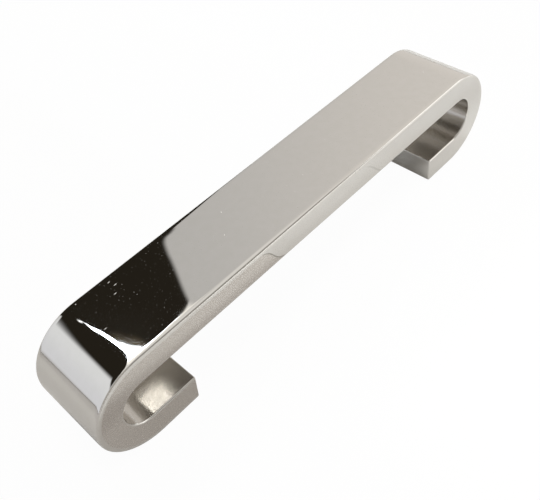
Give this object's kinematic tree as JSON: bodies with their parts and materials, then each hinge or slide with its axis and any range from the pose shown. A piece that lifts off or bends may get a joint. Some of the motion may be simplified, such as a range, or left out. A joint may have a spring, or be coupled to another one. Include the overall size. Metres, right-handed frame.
{
  "type": "arch pull handle",
  "caption": "Cabinet or drawer pull: a flat polished bar whose ends curl under into inward feet, with a blind threaded hole in each foot.",
  "frame": {"origin": "on the mounting plane, midway between the two screw holes", "axes": "+X along the bar, +Y across its width, +Z away from the door or drawer front"},
  "size_m": [0.1284, 0.0204, 0.026],
  "materials": {
    "polished_nickel": "mirror-polished nickel plate, satin on the sides and inside the bends"
  },
  "bodies": {
    "root": {"handle": "polished_nickel"}
  },
  "joints": []
}
